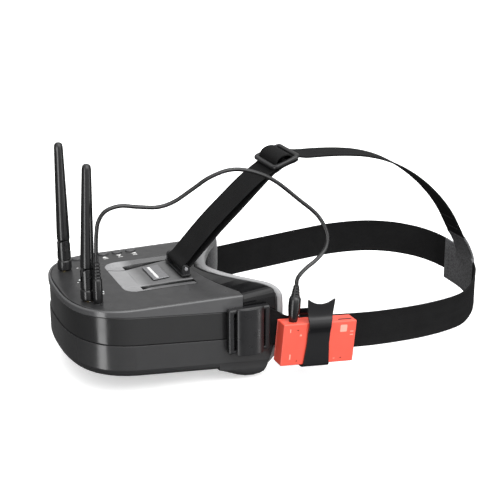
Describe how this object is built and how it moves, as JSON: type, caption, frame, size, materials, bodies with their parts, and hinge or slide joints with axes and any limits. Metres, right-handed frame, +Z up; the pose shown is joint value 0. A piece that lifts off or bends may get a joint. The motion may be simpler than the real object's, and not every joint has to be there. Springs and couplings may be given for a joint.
{
  "type": "fpv goggles",
  "caption": "Box-style video goggles on a webbing head harness with two tilting whip antennas, and a red clip-on recorder wired to them.",
  "frame": {"origin": "the middle of the face opening, where the foam meets the wearer's face", "axes": "+Z up, +X to the wearer's left, the wearer looks along -Y and the head strap runs back along +Y"},
  "size_m": [0.1788, 0.3829, 0.1818],
  "materials": {
    "housing_upper": "satin charcoal",
    "housing_dark": "dark satin band",
    "housing_lower": "satin charcoal, soft corner highlight",
    "cover": "fine satin",
    "panel": "smooth silver grey",
    "label": "blank plate, no text",
    "hood": "polished black",
    "inner_black": "matt black",
    "face_foam": "cloth-faced foam",
    "lens": "clear acrylic with fine rings",
    "display": "dark screen",
    "battery_wrap": "heat-shrink wrap",
    "circuit_board": "green solder mask",
    "button": "satin",
    "light_pipe": "clear",
    "steel": "plain",
    "brass": "gold plated",
    "antenna": "satin black",
    "buckle": "moulded",
    "webbing": "woven",
    "patch": "synthetic leather, stitched",
    "recorder_red": "red satin coat",
    "battery_cell": "foil pouch",
    "clip": "springy moulding",
    "cord": "soft jacket"
  },
  "bodies": {
    "goggles": {"upper_band": "housing_upper", "middle_band": "housing_dark", "lower_housing": "housing_lower", "foam_carrier": "inner_black", "face_foam": "face_foam", "face_hood": "hood", "housing_screw_1": "steel", "housing_screw_2": "steel", "housing_screw_3": "steel", "housing_screw_4": "steel", "top_cover": "cover", "centre_panel": "panel", "label_plate": "label", "strap_bracket": "hood", "bracket_pin": "steel", "lens_frame": "inner_black", "fresnel_lens": "lens", "display_panel": "display", "display_frame": "inner_black", "battery_pack": "battery_wrap", "main_board": "circuit_board", "status_light_1": "light_pipe", "status_light_2": "light_pipe", "av_jack": "inner_black", "power_jack": "inner_black", "antenna_socket_left": "brass", "antenna_socket_right": "brass", "strap_anchor_left": "buckle", "strap_anchor_right": "buckle", "strap_keeper_left": "buckle", "strap_keeper_right": "buckle", "side_strap_left": "webbing", "side_strap_right": "webbing", "rear_patch": "patch", "crown_glide": "buckle", "crown_strap": "webbing", "recorder_case": "recorder_red", "recorder_back": "recorder_red", "recorder_board": "circuit_board", "recorder_battery": "battery_cell", "recorder_jack": "inner_black", "recorder_clip": "clip", "goggle_plug": "cord", "recorder_plug": "cord", "av_lead": "cord"},
    "button_1": {"menu_button_1": "button"},
    "button_2": {"menu_button_2": "button"},
    "button_3": {"menu_button_3": "button"},
    "button_4": {"menu_button_4": "button"},
    "button_5": {"menu_button_5": "button"},
    "record_key": {"record_button": "button"},
    "card": {"memory_card": "button"},
    "antenna_knuckle_left": {"antenna_base_left": "antenna"},
    "antenna_rod_left": {"antenna_whip_left": "antenna"},
    "antenna_knuckle_right": {"antenna_base_right": "antenna"},
    "antenna_rod_right": {"antenna_whip_right": "antenna"}
  },
  "joints": [
    {"name": "menu_button_1_press", "type": "slide", "parent": "goggles", "child": "button_1", "axis": [0, 0, -1], "range_m": [0, 0.0008], "stiffness_N_per_m": 300},
    {"name": "menu_button_2_press", "type": "slide", "parent": "goggles", "child": "button_2", "axis": [0, 0, -1], "range_m": [0, 0.0008], "stiffness_N_per_m": 300},
    {"name": "menu_button_3_press", "type": "slide", "parent": "goggles", "child": "button_3", "axis": [0, 0, -1], "range_m": [0, 0.0008], "stiffness_N_per_m": 300},
    {"name": "menu_button_4_press", "type": "slide", "parent": "goggles", "child": "button_4", "axis": [0, 0, -1], "range_m": [0, 0.0008], "stiffness_N_per_m": 300},
    {"name": "menu_button_5_press", "type": "slide", "parent": "goggles", "child": "button_5", "axis": [0, 0, -1], "range_m": [0, 0.0008], "stiffness_N_per_m": 300},
    {"name": "record_button_press", "type": "slide", "parent": "goggles", "child": "record_key", "axis": [0, -0.9957, 0.0924], "range_m": [0, 0.0006], "stiffness_N_per_m": 300},
    {"name": "memory_card_slide", "type": "slide", "parent": "goggles", "child": "card", "axis": [0, 0.0924, 0.9957], "range_m": [0, 0.012]},
    {"name": "antenna_turn_left", "type": "hinge", "parent": "goggles", "child": "antenna_knuckle_left", "pos_m": [0.0363, -0.1297, 0.0511], "axis": [0, 0, 1], "continuous": true},
    {"name": "antenna_tilt_left", "type": "hinge", "parent": "antenna_knuckle_left", "child": "antenna_rod_left", "pos_m": [0.0363, -0.1297, 0.0511], "axis": [1, 0, 0], "range_deg": [0, 92]},
    {"name": "antenna_turn_right", "type": "hinge", "parent": "goggles", "child": "antenna_knuckle_right", "pos_m": [-0.0363, -0.1297, 0.0511], "axis": [0, 0, 1], "continuous": true},
    {"name": "antenna_tilt_right", "type": "hinge", "parent": "antenna_knuckle_right", "child": "antenna_rod_right", "pos_m": [-0.0363, -0.1297, 0.0511], "axis": [1, 0, 0], "range_deg": [0, 90]}
  ]
}
